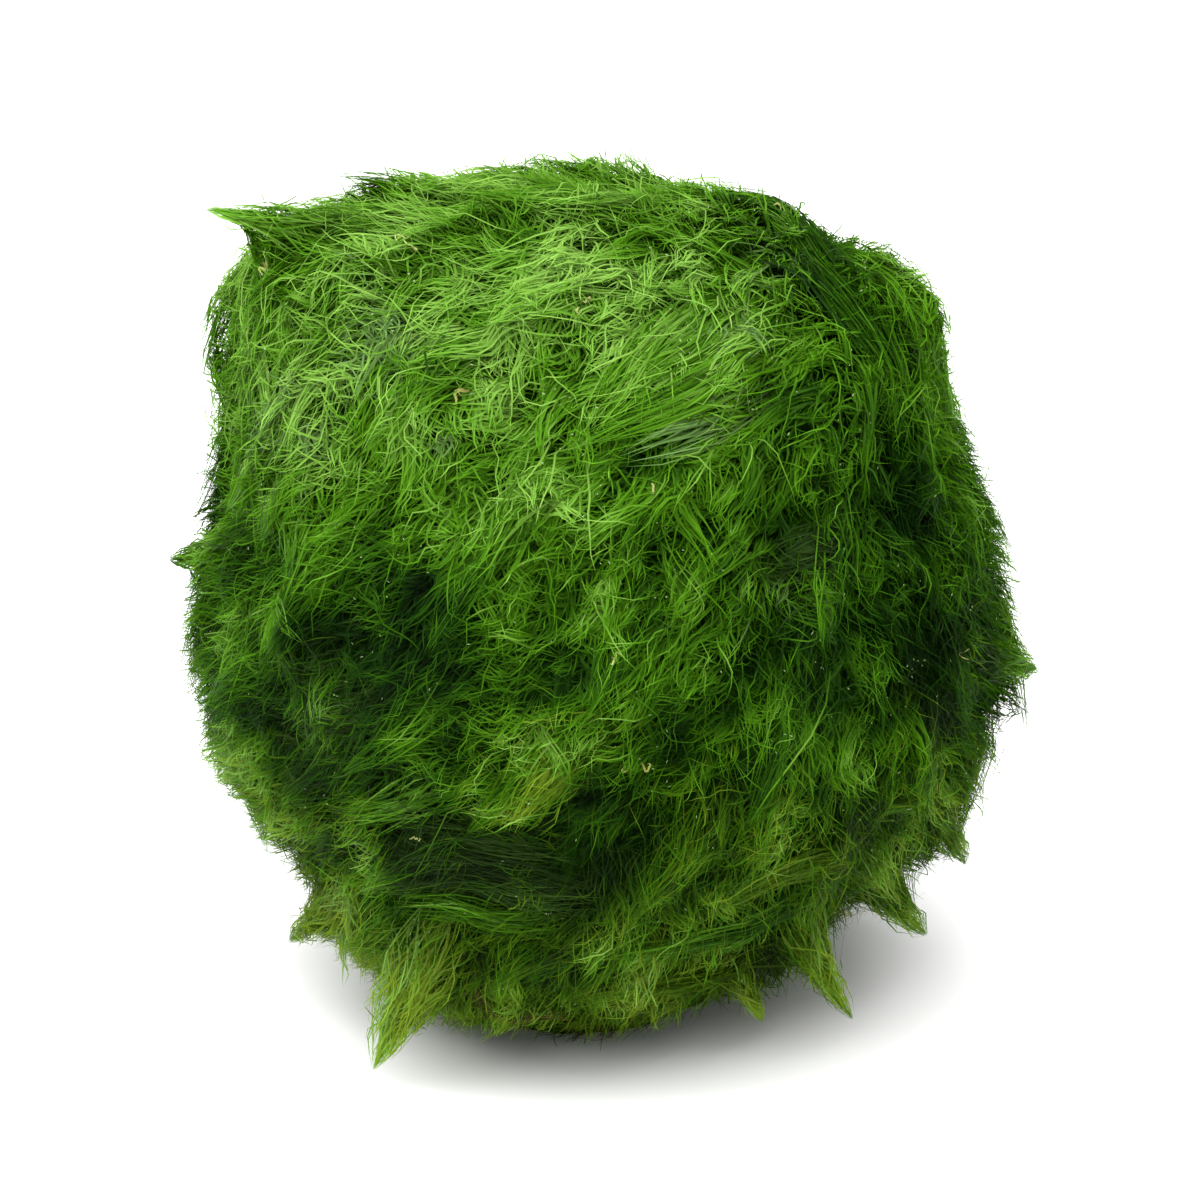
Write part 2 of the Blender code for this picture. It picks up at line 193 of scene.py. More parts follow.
# Patches of tone, the moss's own and painted light and shade (a darker right side and hollows, a
# lighter lower rim): across and up in the view, side, spread in degrees, brighter or darker
TONE_AND_SHADE_PATCHES = (
    (-3, 18, 1, 20, 0.16), (7, 16, 1, 11, 0.14), (-15, 21, 1, 14, 0.10), (-18.5, 3.4, 1, 10, 0.08),
    (-13, 8.8, 1, 12, 0.0), (-2.4, 0.4, 1, 8, 0.12), (-4.6, -9.5, 1, 6, 0.10),
    (-4, -12.5, 1, 5, 0.10), (-11.0, -11.6, 1, 7, 0.26), (-19.5, -13.5, 1, 8, 0.16),
    (-13.5, -22, 1, 11, 0.34), (4.5, -23, 1, 10, 0.18), (19.3, -14.2, 1, 10, 0.06),
    (14.5, -19.0, 1, 7, 0.14), (15.5, -6, 1, 7, 0.04), (9.8, 3.4, 1, 6, 0.20),
    (7, 6.5, 1, 9, -0.22), (16.6, 10.5, 1, 13, -0.27), (19, -1, 1, 14, -0.20),
    (14.5, 20, 1, 10, -0.20), (-12, -0.5, 1, 8, -0.21), (-15.5, -5, 1, 9, -0.29),
    (-11, -16, 1, 5, -0.20), (-4, -17, 1, 6, -0.20), (2.5, -17.5, 1, 7, -0.16),
    (20.9, -2.6, 1, 3.5, -0.30), (3.6, -0.9, 1, 2.6, -0.26), (1.1, -12.6, 1, 3, -0.28),
    (-10, 0.5, 1, 2.5, -0.24), (-7.2, 1.1, 1, 2.4, -0.22), (-11.1, -3.7, 1, 3, -0.20),
    (-13.4, 14.7, 1, 2.6, -0.26), (-9.5, 13, 1, 2.4, -0.24), (-0.9, 13, 1, 1.8, -0.22),
    (10.5, 12.4, 1, 3, -0.26), (3.6, 8, 1, 2.6, -0.20), (13.2, -1.5, 1, 3, -0.20),
    (6.0, 0.4, 1, 2.4, 0.14), (1.7, -3.9, 1, 2.4, 0.12), (8.6, -5.4, 1, 3, 0.10),
    (-10, 14, -1, 16, 0.12), (12, -6, -1, 16, -0.16), (6, 14, -1, 12, 0.12),
    (-14, -8, -1, 14, -0.16), (0, 2, -1, 9, 0.12), (2, -16, -1, 10, 0.12),
)
# Wet patches, dark blue-green with a blue-grey painted sheen: across and up in the view, side,
# spread in degrees
WET_SHEEN_PATCHES = (
    (-18.5, 11.5, 1, 4), (8.2, 16.6, 1, 2.5), (12.2, 20.8, 1, 3.5), (11.2, 2, 1, 3.5),
    (-16.2, -6, 1, 6), (-15, -14.5, 1, 3.5), (-9.5, -15, 1, 4.5), (-5, -15.5, 1, 4),
    (-13.6, 17.6, 1, 3), (14, 6, -1, 6), (-8, -10, -1, 7), (-2, 20, -1, 5),
)
# Pale dead curls: across and up in the view, side
CURLS = (
    (2.0, -9.8, 1), (-20.0, 20.2, 1), (-0.3, 16.6, 1), (-11.1, 21.4, 1), (0.9, -3.6, 1),
    (15.6, -20.0, 1), (-8.9, 13.8, 1), (8.0, 8.0, -1), (-12.0, -4.0, -1), (4.0, -14.0, -1),
)

# Locks laid over the coat one by one: the places in the view that each runs through, its side, its
# width in mm, its filaments, its height in mm, its tone and its band of colours
STROKES = (
    (((-17.5, -14.2), (-9, -16.4), (0.5, -17.8)), 1, 3.6, 170, -0.1, 0.14, "wet"),
    (((-15.5, -12.8), (-8, -15), (-1, -16)), 1, 2.2, 80, 0.0, 0.34, "wet"),
    (((-14, -16.6), (-7, -17.8), (1, -18.8)), 1, 1.6, 50, 0.0, 0.50, "wet"),
    (((-1.0, -9.6), (-3.4, -11.6), (-5.8, -14.4)), 1, 3.0, 80, 0.1, 0.74, "olive"),
    (((-9, -10.6), (-11.5, -12.4), (-15.5, -13.2)), 1, 2.6, 60, 0.1, 0.68, "fresh"),
    # Pale locks of the wet band, whose brightness is painted sheen
    (((-18.8, 15.4), (-18.8, 13.2), (-18.5, 11.2)), 1, 1.4, 30, 0.2, 1.00, "wet"),
    (((-16.9, 11.2), (-16.8, 9.4), (-16.4, 7.6)), 1, 1.2, 26, 0.2, 0.92, "wet"),
    (((-14.0, 18.6), (-13.9, 17.4), (-13.6, 16.0)), 1, 1.6, 30, 0.2, 0.95, "wet"),
    (((-10.4, 11.6), (-10.2, 10.2), (-9.8, 8.8)), 1, 1.0, 18, 0.2, 0.90, "wet"),
    (((15.8, 3.6), (12.8, 3.2), (9.6, 1.9)), 1, 2.6, 80, 0.0, 0.24, "wet"),
    (((-10.5, -5.2), (-14.5, -6.2), (-18.5, -7.8)), 1, 3.0, 90, -0.1, 0.20, "wet"),
    (((-17.4, 6.6), (-17.2, 3.8), (-17.1, 0.6)), 1, 3.0, 60, 0.1, 0.62, "fresh"),
    (((-18.6, 2.0), (-17.6, -0.2), (-16.3, -2.6)), 1, 1.4, 26, 0.3, 0.72, "fresh"),
    (((10.2, 5.4), (8.4, 3.2), (5.6, 1.0)), 1, 2.8, 60, 0.0, 0.60, "fresh"),
    (((12.6, -21.2), (5.5, -23.2), (-2.5, -24.2)), 1, 2.4, 110, 0.0, 0.56, "olive"),
    (((17.0, -16.8), (8.5, -20.6), (-1.0, -21.8)), 1, 2.8, 110, 0.0, 0.50, "fresh"),
    (((19.6, -13.6), (13.0, -16.0), (5.0, -18.2)), 1, 2.2, 80, 0.0, 0.54, "olive"),
    (((0.0, -20.2), (-6.5, -19.8), (-13.0, -18.4)), 1, 2.0, 80, 0.0, 0.58, "fresh"),
    (((13.4, 17.4), (7.0, 12.6), (-1.5, 9.0)), 1, 3.0, 95, 0.2, 0.66, "fresh"),
    (((11.0, 19.4), (5.5, 14.4), (-1.0, 11.2)), 1, 2.6, 75, 0.1, 0.74, "fresh"),
    # A pale lock of the wet band, whose brightness is painted sheen
    (((12.0, 14.6), (7.0, 10.6), (1.0, 8.0)), 1, 1.8, 50, 0.3, 0.92, "wet"),
    (((8.0, 20.0), (3.0, 15.0), (-1.0, 9.5)), 1, 2.6, 80, 0.1, 0.76, "fresh"),
    (((3.0, 25.6), (10.6, 23.4), (17.0, 17.0)), 1, 4.4, 190, 0.0, 0.36, "fresh"),
    (((7.5, 22.4), (13.2, 19.8), (18.0, 12.4)), 1, 3.6, 140, 0.1, 0.30, "fresh"),
    (((-9.0, -22.8), (-5.5, -24.8), (-1.5, -25.8)), 1, 1.6, 50, 0.1, 1.00, "brown"),
    (((12.5, -21.0), (14.5, -20.0), (16.6, -18.8)), 1, 1.2, 30, 0.1, 1.00, "brown"),
    (((8, -6), (3, -12), (-6, -14)), -1, 3.0, 120, 0.0, 0.20, "wet"),
    (((-12, 10), (-15, 5), (-16, 0)), -1, 2.6, 75, 0.1, 0.74, "fresh"),
    (((6, 16), (3, 10), (4, 4)), -1, 2.4, 80, 0.1, 0.72, "fresh"),
    (((16, -2), (14, -7), (15, -12)), -1, 2.2, 70, 0.1, 0.66, "olive"),
)

# Bands of the colour map, each from dark to bright; the glint band is painted highlight, and the
# wet band's blue-grey cast is painted sheen
BANDS = {
    "fresh": (0.02, 0.40), "glint": (0.43, 0.46), "olive": (0.49, 0.65), "wet": (0.68, 0.80),
    "brown": (0.83, 0.89), "dead": (0.92, 0.98),
}
PALETTE = (  # places in the colour map, band by band, and the colour there
    (0.01, (0.002, 0.012, 0.0002)), (0.10, (0.009, 0.044, 0.0003)),
    (0.19, (0.034, 0.122, 0.001)), (0.29, (0.096, 0.274, 0.006)),
    # The pale stop at 0.46 ends the glint band, a painted highlight
    (0.40, (0.270, 0.500, 0.080)), (0.46, (0.520, 0.680, 0.360)),
    (0.48, (0.009, 0.026, 0.0003)), (0.57, (0.069, 0.160, 0.001)),
    (0.66, (0.265, 0.405, 0.026)), (0.67, (0.005, 0.015, 0.0012)),
    # The blue-grey cast of the wet band, brightest at 0.81, is painted sheen
    (0.75, (0.034, 0.084, 0.009)), (0.81, (0.160, 0.300, 0.075)),
    (0.82, (0.018, 0.017, 0.003)), (0.90, (0.100, 0.085, 0.016)),
    (0.91, (0.380, 0.380, 0.060)), (1.00, (0.700, 0.720, 0.300)),
)
PAINTED_SHADE_ALONG = ((0.0, 0.30), (0.35, 0.70), (0.75, 1.0), (1.0, 1.15))  # painted shade from root to tip: roots darker as the shade deep in the coat, tips a little lighter as painted light

# The stage, in metres and watts
FLOOR_CORNERS = ((-3.0, -3.0, 0.0), (3.0, -3.0, 0.0), (3.0, 3.0, 0.0), (-3.0, 3.0, 0.0))
WORLD_STRENGTH = 0.42
LIGHT_AIM = (0.0, 0.0, 0.025)
LIGHTS = (  # name, place, size, power
    ("key", (-0.10, -0.12, 0.64), 1.20, 23.2),
    ("fill", (0.10, -0.70, 0.35), 0.50, 0.8),
)

# The render's frame is a square window of the photograph around the ball
PIXELS_PER_MM = 7.4
WINDOW_PIXELS = 530
CAMERA_DISTANCE = 620.0  # mm
SENSOR_WIDTH = 36.0


def unit(vectors):
    return vectors / np.maximum(np.linalg.norm(vectors, axis=-1, keepdims=True), 1e-9)


def tangent(vectors, directions):
    """The unit part of each vector that runs along the ball at its direction."""
    return unit(vectors - directions * np.sum(vectors * directions, axis=-1, keepdims=True))


def turned(headings, directions, angles):
    """Each heading turned about its direction."""
    angles = np.asarray(angles)[..., None]
    return headings * np.cos(angles) + np.cross(directions, headings) * np.sin(angles)


def from_view(across, up, toward):
    """Vectors given in the view's own axes, turned into the ball's axes."""
    sine, cosine = math.sin(VIEW_TILT), math.cos(VIEW_TILT)
    return np.stack(
        np.broadcast_arrays(across, up * sine - toward * cosine, up * cosine + toward * sine), -1
    )


def in_view(directions):
    """Across, up and toward the viewer, for vectors in the ball's axes."""
    sine, cosine = math.sin(VIEW_TILT), math.cos(VIEW_TILT)
    x, y, z = np.moveaxis(directions, -1, 0)
    return x, y * sine + z * cosine, z * sine - y * cosine


def outline_reach(angles):
    """The outline's reach at angles in degrees, evened out between its points."""
    angles = np.asarray(angles, float)[..., None]
    point_angles, reaches = np.array(OUTLINE).T
    turns = (angles - point_angles + 180.0) % 360.0 - 180.0
    shares = np.exp(-((turns / OUTLINE_BLUR) ** 2) / 2)
    return np.sum(shares * reaches, axis=-1) / np.sum(shares, axis=-1)


def on_ball(across, up, side):
    """The direction of a point of the ball seen at this place in the view."""
    flat = math.hypot(across, up)
    reach = float(outline_reach(math.degrees(math.atan2(up, across))))
    flat_share = min(flat / reach, EDGE_OF_VIEW)
    toward = side * reach * math.sqrt(1.0 - flat_share**2)
    return unit(from_view(across, up, toward))


def combing_spots():
    """The places on the ball where the combing is known, and its heading there."""
    spots, headings = [], []
    for side, strokes in ((1, FRONT_COMBING), (-1, BACK_COMBING)):
        for across, up, degrees in strokes:
            direction = on_ball(across, up, side)
            turn = math.radians(degrees)
            along = from_view(math.cos(turn), math.sin(turn), 0.0)
            spots.append(direction)
            headings.append(tangent(along, direction))
    return np.array(spots), np.array(headings)


def falloff(directions, spots, spreads):
    """How near each direction is to each spot, from 0 to 1."""
    apart = np.arccos(np.clip(directions @ spots.T, -1.0, 1.0)) / spreads
    return np.exp(-apart * apart / 2)


SPOTS, HEADINGS = combing_spots()


def combing_flow(directions):
    """The combing between its known places, longer where they agree."""
    flow = falloff(directions, SPOTS, COMBING_SPREAD) @ HEADINGS + (0.0, 0.0, -HANG)
    return flow - directions * np.sum(flow * directions, axis=-1, keepdims=True)


LUMP_SPOTS = np.array([on_ball(a, u, side) for a, u, side, _, _ in LUMPS])
LUMP_HEIGHTS = np.array([height for _, _, _, height, _ in LUMPS])
LUMP_SPREADS = np.radians([spread for _, _, _, _, spread in LUMPS])


def noise_at(places):
    """Smooth noise at each place, about -1 to 1."""
    flat = places.reshape(-1, 3)
    values = np.fromiter((noise.noise(place) for place in flat.tolist()), float, len(flat))
    return values.reshape(places.shape[:-1])


def pattern(places, size, place_in_noise, reach=NOISE_REACH):
    """Noise with patches of this size in mm, on a ball that reaches this far."""
    return noise_at(places * (reach / size) + place_in_noise)


def body_reach(directions):
    """How far the matted body reaches in mm, without its locks and tufts."""
    across, up, toward = in_view(directions)
    outline = outline_reach(np.degrees(np.arctan2(up, across)))
    depth = np.where(toward > 0, FRONT_REACH, BACK_REACH)
    reach = outline * (1.0 - toward**2) + depth * toward**2 - FUZZ
    reach = reach + falloff(directions, LUMP_SPOTS, LUMP_SPREADS) @ LUMP_HEIGHTS
    return reach + CLUMP_HEIGHT * noise_at(directions * (reach / CLUMP_SIZE)[..., None])


def grid_directions(rows, columns):
    """Directions over the whole ball, rows from the top down and columns once round."""
    polar = np.linspace(0.0, np.pi, rows)[:, None]
    turn = np.linspace(0.0, 2 * np.pi, columns)[None, :]
    return np.stack(
        np.broadcast_arrays(
            np.sin(polar) * np.cos(turn), np.sin(polar) * np.sin(turn), np.cos(polar)
        ), -1
    )


def read_grid(grid, directions):
    """The grid's value at each direction, evened out between its four nearest points."""
    rows, columns = grid.shape[:2]
    row = np.arccos(np.clip(directions[..., 2], -1.0, 1.0)) / np.pi * (rows - 1)
    column = np.arctan2(directions[..., 1], directions[..., 0]) / (2 * np.pi) % 1.0 * (columns - 1)
    top = np.minimum(row.astype(int), rows - 2)
    left = np.minimum(column.astype(int), columns - 2)
    down, right = row - top, column - left
    if grid.ndim == 3:
        down, right = down[..., None], right[..., None]
    upper = grid[top, left] * (1 - right) + grid[top, left + 1] * right
    lower = grid[top + 1, left] * (1 - right) + grid[top + 1, left + 1] * right
    return upper * (1 - down) + lower * down


CENTRE = np.array([*CENTRE_SHIFT, CENTRE_HEIGHT])
GRID = grid_directions(GRID_ROWS, GRID_COLUMNS)
FLOW = combing_flow(GRID)
BODY = body_reach(GRID)


def solid_reach():
    """How far the solid reaches in each direction of the grid, its locks and tufts included."""
    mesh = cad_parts["moss_ball"].data
    tree = BVHTree.FromPolygons(
        [vertex.co[:] for vertex in mesh.vertices], [face.vertices[:] for face in mesh.polygons]
    )
    centre = Vector(CENTRE * MM)
    reaches = np.empty((GRID_ROWS, GRID_COLUMNS))
    for row in range(GRID_ROWS):
        for column in range(GRID_COLUMNS):
            direction = Vector(GRID[row, column])
            hit = tree.ray_cast(centre + direction * RAY_START, -direction, RAY_START)[0]
            reaches[row, column] = (hit - centre).length / MM if hit else BODY[row, column]
    return reaches


def blurred(grid, passes):
    """The grid evened out along its rows and columns, round the seam too."""
    for _ in range(passes):
        inner = grid[:, :-1]
        inner = (np.roll(inner, 1, 1) + 2 * inner + np.roll(inner, -1, 1)) / 4
        grid = np.concatenate([inner, inner[:, :1]], axis=1)
        padded = np.concatenate([grid[:1], grid, grid[-1:]])
        grid = (padded[:-2] + 2 * padded[1:-1] + padded[2:]) / 4
    return grid


def closed(grid, cells):
    """The grid with its narrow valleys filled in."""
    for pick in (np.maximum, np.minimum):
        for _ in range(cells):
            inner = grid[:, :-1]
            inner = pick(pick(np.roll(inner, 1, 1), np.roll(inner, -1, 1)), inner)
            grid = np.concatenate([inner, inner[:, :1]], axis=1)
            padded = np.concatenate([grid[:1], grid, grid[-1:]])
            grid = pick(pick(padded[:-2], padded[2:]), padded[1:-1])
    return grid


SOLID = solid_reach()
FILLED = closed(SOLID, FILL_CELLS)
SURFACE = blurred((1.0 - FILL_SHARE) * SOLID + FILL_SHARE * FILLED, BLUR_PASSES)
# How deep the narrow valleys are, for the painted shade in them
VALLEYS = blurred(np.minimum(FILLED - SOLID, DEEPEST_VALLEY), BLUR_PASSES)


def on_top(directions):
    """1 over the top of the ball, where the coat is combed long and straight, and 0 lower down."""
    return np.clip((directions[..., 2] - TOP_START) / TOP_SPAN, 0.0, 1.0)


# How far the coat turns out of the combing, in radians, half as much over the top
SWIRL = (1.0 - 0.5 * on_top(GRID)) * sum(
    math.radians(turn) * pattern(GRID, size, place_in_noise)
    for turn, size, place_in_noise in SWIRLS
)


def streaks(size, steps, step):
    """Noise of this size in mm, drawn out along the combing, about -1 to 1."""
    total = np.zeros(GRID.shape[:2])
    for way in (1.0, -1.0):
        place = GRID
        for _ in range(steps):
            total = total + pattern(place, size, STREAK_PLACE, FRONT_REACH)
            place = unit(place + way * swirled_heading(place) * (step / FRONT_REACH))
    return np.clip(total / (2.0 * np.std(total)), -1.0, 1.0)


def spread_directions(count):
    """Directions spread evenly over the ball, from the top down."""
    index = np.arange(count)
    height = 1.0 - 2.0 * (index + 0.5) / count
    flat = np.sqrt(1.0 - height * height)
    turn = index * math.pi * (3.0 - math.sqrt(5.0))
    return np.stack([flat * np.cos(turn), flat * np.sin(turn), height], -1)


def strewn_directions(count, jitter, random):
    """Evenly strewn directions, each moved by about this many mm, and none under the ball."""
    directions = spread_directions(count)
    directions = unit(directions + random.normal(0.0, jitter / FRONT_REACH, directions.shape))
    return directions[directions[:, 2] > FOOT_HEIGHT]


def swirled_heading(directions):
    """The heading of the coat: the combing with its swirls."""
    combed = tangent(read_grid(FLOW, directions), directions)
    return turned(combed, directions, read_grid(SWIRL, directions))


STREAKS = streaks(STREAK_SIZE, STREAK_STEPS, STREAK_STEP)
TUSSOCKS = streaks(TUSSOCK_SIZE, TUSSOCK_STEPS, TUSSOCK_STEP)


def streamlines(starts, bends, lengths):
    """Directions and headings along paths that meander about the swirled combing."""
    points = bends.shape[1]
    place = starts
    step = (lengths / (points - 1) / FRONT_REACH)[:, None]
    places, headings = [], []
    for index in range(points):
        heading = turned(swirled_heading(place), place, bends[:, index])
        places.append(place)
        headings.append(heading)
        place = unit(place + heading * step)
    return np.stack(places, 1), np.stack(headings, 1)


def meander(random, count, points, spread, keep):
    """Angles in radians, of this spread in degrees, that change little by little on each path."""
    angle = random.normal(0.0, spread, count)
    angles = [angle]
    for _ in range(points - 1):
        angle = keep * angle + math.sqrt(1 - keep**2) * random.normal(0.0, spread, count)
        angles.append(angle)
    return np.radians(np.stack(angles, 1))


def weave(random, shares, height):
    """A slow wave in and out of the felt."""
    count = len(shares)
    phase = random.uniform(0, 2 * np.pi, (count, 1))
    pace = random.uniform(4.0, 9.0, (count, 1))
    return random.uniform(0.3, 1.0, (count, 1)) * height * np.sin(phase + pace * shares)


def rise(shares, depth, level, tip):
    """Heights against the solid's surface: up from the root, along, and off at the tip."""
    climbed = 1.0 - np.exp(-CLIMB * shares)
    return depth * (1 - climbed) + level * climbed + tip * shares**2


def surface_points(places, heights):
    """Points in mm at these directions and heights against the solid's surface."""
    reach = read_grid(SURFACE, places) + heights
    return CENTRE + places * reach[..., None]


def shares_of(count, points):
    """Even shares of the length, from root to tip, for each of so many filaments."""
    return np.broadcast_to(np.linspace(0.0, 1.0, points)[None, :], (count, points))


def fineness(places):
    """Share of a filament's full size: less lower down, where the coat is finer and shorter."""
    return LOW_SIZE + TOP_GAIN * on_top(places)


TONE_AND_SHADE_SPOTS = np.array([on_ball(a, u, side) for a, u, side, _, _ in TONE_AND_SHADE_PATCHES])
TONE_AND_SHADE_SPREADS = np.radians([spread for _, _, _, spread, _ in TONE_AND_SHADE_PATCHES])
TONE_AND_SHADE_SHIFTS = np.array([tone for _, _, _, _, tone in TONE_AND_SHADE_PATCHES])
WET_SHEEN_SPOTS = np.array([on_ball(a, u, side) for a, u, side, _ in WET_SHEEN_PATCHES])
WET_SHEEN_SPREADS = np.radians([spread for _, _, _, spread in WET_SHEEN_PATCHES])


def in_band(name, tone):
    """Where a tone from 0 to 1 lies in the colour map."""
    first, last = BANDS[name]
    return first + np.clip(tone, 0.0, 1.0) * (last - first)


def speckle(places, heights):
    """Small changes of tone along the filaments."""
    points = places * (FRONT_REACH + heights[..., None])
    return SPECKLE_TONE * noise_at(points / SPECKLE_SIZE + SPECKLE_PLACE)


def band_shares(roots):
    """How many of the filaments with these roots are olive, dark blue-green with a painted sheen,
    or brown, as shares.
    """
    heights = roots[:, 2]
    olive_noise = OLIVE_NOISE * noise_at(roots * OLIVE_PACE + OLIVE_PLACE)
    olive = OLIVE_SHARE - OLIVE_LOST_UP * heights + olive_noise
    wet = falloff(roots, WET_SHEEN_SPOTS, WET_SHEEN_SPREADS).max(axis=1)
    wet_noise = pattern(roots, WET_SHEEN_NOISE_SIZE, WET_SHEEN_PLACE) * WET_SHEEN_NOISE - WET_SHEEN_NOISE_LESS
    brown = (BROWN_HEIGHT - heights) * BROWN_GAIN_DOWN
    return (
        ("olive", np.clip(olive, 0.0, MOST_OLIVE)),
        ("wet", np.maximum(WET_SHEEN_SHARE * wet, wet_noise)),
        ("brown", np.clip(brown, 0.0, MOST_BROWN)),
    )


def coat_keys(places, heights, tones, random):
    """Where each point of each filament lies in the colour map, from its place and its tone, with
    painted light and shade.
    """
    # Painted shade deep in the coat, and painted light on points that stand off it
    tone = COAT_TONE + tones[:, None] + DEPTH_SHADE_TONE * np.minimum(heights, HIGHEST_TONED)
    change = PATCH_TONE * pattern(places, PATCH_SIZE, PATCH_PLACE, FRONT_REACH)
    change = change + speckle(places, heights)
    # The streaks and tussocks, with painted shade in their furrows
    change = change + STREAK_TONE * read_grid(STREAKS, places)
    change = change + TUSSOCK_TONE * read_grid(TUSSOCKS, places)
    # Painted shade in the valleys
    change = change - VALLEY_SHADE * read_grid(VALLEYS, places)
    tone = tone + change * (CONTRAST - CONTRAST_OFF_TOP * on_top(places))
    # Painted light on the top of the ball
    tone = tone + TOP_PAINTED_LIGHT * on_top(places)
    # Patches of own tone and of painted light and shade
    tone = tone + falloff(places, TONE_AND_SHADE_SPOTS, TONE_AND_SHADE_SPREADS) @ TONE_AND_SHADE_SHIFTS
    keys = in_band("fresh", tone)
    for name, share in band_shares(places[:, 0]):
        chosen = random.random(len(share)) < share
        keys[chosen] = in_band(name, tone[chosen])
    return keys


def single_paths(random, starts, points, spread, keep, lengths, size=1.0):
    """Directions along single filaments that meander over the coat, and shares of their length."""
    count = len(starts)
    bends = meander(random, count, points, spread, keep)
    places, _ = streamlines(starts, bends, random.uniform(*lengths, count) * size)
    return places, shares_of(count, points)


def undercoat_strands(random):
    """Filaments deep in the coat, which hide the mat, painted dark as the shade there."""
    starts = strewn_directions(UNDERCOAT_COUNT, 0.3, random)
    count = len(starts)
    places, shares = single_paths(random, starts, 4, spread=48.0, keep=0.75, lengths=(2.0, 4.2))
    level = random.uniform(-2.1, -0.8, (count, 1))
    heights = rise(shares, depth=-2.6, level=level, tip=0.0)
    return places, heights, coat_keys(places, heights, random.normal(-0.16, 0.08, count), random)


def felt_strands(random):
    """The main coat: curly filaments, each on its own way, woven in and out of the felt."""
    starts = strewn_directions(FELT_COUNT, 0.5, random)
    count = len(starts)
    places, shares = single_paths(
        random, starts, 6, spread=46.0, keep=0.88, lengths=(2.2, 4.8), size=fineness(starts)
    )
    relief = 0.35 * read_grid(STREAKS, places[:, 2]) + 0.65 * read_grid(TUSSOCKS, places[:, 2])
    level = np.clip(random.normal(-1.0, 0.35, (count, 1)) + relief[:, None], -2.1, 0.1)
    stands_off = random.random((count, 1)) < 0.35
    tip_off, tip_in = random.uniform(0.1, 1.0, (count, 1)), random.uniform(-0.9, 0.1, (count, 1))
    tip = np.where(stands_off, tip_off, tip_in)
    heights = rise(shares, depth=-2.2, level=level, tip=tip) + weave(random, shares, 0.35)
    return places, heights, coat_keys(places, heights, random.normal(0.04, 0.06, count), random)


def gathered_strands(
    random, paths, headings, strands, half_widths, levels, tips, draw, stagger, points
):
    """Groups of filaments that spread at their roots and draw together towards one tip."""
    path_points = paths.shape[1]
    owner = np.repeat(np.arange(len(paths)), strands)
    total = len(owner)
    first = random.uniform(0.0, stagger, (total, 1))
    last = random.uniform(min(0.6, 1.0 - stagger), 1.0, (total, 1))
    shares = first + (last - first) * shares_of(total, points)
    step = shares * (path_points - 1)
    before = np.minimum(step.astype(int), path_points - 2)
    part = (step - before)[..., None]
    group = owner[:, None]
    places = paths[group, before] * (1 - part) + paths[group, before + 1] * part
    side = np.cross(paths[group, before], headings[group, before])
    across = np.clip(random.normal(0.0, 0.6, (total, 1)), -1.2, 1.2) * half_widths[group]
    across = across * (1.0 - shares) ** draw + weave(random, shares, 0.15 + 0.7 * stagger)
    places = unit(places + side * across[..., None] / FRONT_REACH)
    lift = random.normal(0.0, 0.15, (total, 1))
    heights = rise(shares, depth=-2.2, level=levels[group] + lift, tip=tips[group])
    return places, heights + weave(random, shares, 0.15), owner


def combed_groups(random, starts, strands, lengths, half_widths, turns, tips, tones, points):
    """Gathered groups that follow the combing from these starts."""
    count = len(starts)
    bends = meander(random, count, points + 1, spread=26.0, keep=0.85) + turns[:, None]
    paths, headings = streamlines(starts, bends, lengths)
    levels = random.normal(-0.7, 0.25, count) + 0.5 * read_grid(TUSSOCKS, paths[:, 2])
    places, heights, owner = gathered_strands(
        random, paths, headings, strands, half_widths, levels, tips,
        draw=0.7, stagger=0.3, points=points,
    )
    tones = tones[owner] + random.normal(0.0, 0.03, len(owner))
    return places, heights, coat_keys(places, heights, tones, random)


def clump_strands(random):
    """Long clumps combed over the top of the ball."""
    starts = strewn_directions(CLUMP_COUNT, 1.2, random)
    starts = starts[random.random(len(starts)) < on_top(starts) + 0.1]
    count = len(starts)
    return combed_groups(
        random, starts, CLUMP_STRANDS,
        lengths=random.uniform(4.5, 9.5, count),
        half_widths=random.uniform(0.5, 1.3, count),
        turns=np.radians(random.normal(0.0, 16.0, count)),
        tips=random.uniform(-0.4, 0.7, count),
        tones=random.normal(0.06, 0.06, count),
        points=7,
    )


def feather_strands(random):
    """Small flat tufts laid over one another like feathers, with shade under their tips."""
    starts = strewn_directions(FEATHER_COUNT, 0.7, random)
    count = len(starts)
    return combed_groups(
        random, starts, FEATHER_STRANDS,
        lengths=random.uniform(2.2, 5.0, count),
        half_widths=random.uniform(0.5, 1.3, count),
        turns=np.radians(random.normal(0.0, 30.0, count)),
        tips=random.uniform(-0.1, 1.0, count),
        tones=random.normal(0.03, 0.09, count),
        points=5,
    )


def stroke_strands(random):
    """The listed locks laid over the coat."""
    path_points = 9
    paths, headings = [], []
    for stops, side, *_ in STROKES:
        line = np.array(stops)
        spread = np.linspace(0, len(line) - 1, path_points)
        steps = [np.interp(spread, range(len(line)), line[:, i]) for i in range(2)]
        path = np.array([on_ball(across, up, side) for across, up in zip(*steps)])
        paths.append(path)
        headings.append(tangent(np.gradient(path, axis=0), path))
    _, _, widths, strands, levels, tones, bands = zip(*STROKES)
    count = len(STROKES)
    places, heights, owner = gathered_strands(
        random, np.array(paths), np.array(headings), strands, np.array(widths) / 2,
        np.array(levels) - 0.3, np.full(count, 0.2), draw=0.2, stagger=0.55, points=5,
    )
    tone = np.array(tones)[owner] + random.normal(0.0, 0.12, len(owner))
    tone = tone[:, None] + speckle(places, heights)
    keys = np.zeros(heights.shape)
    for index, name in enumerate(bands):
        keys[owner == index] = in_band(name, tone[owner == index])
    return places, heights, keys


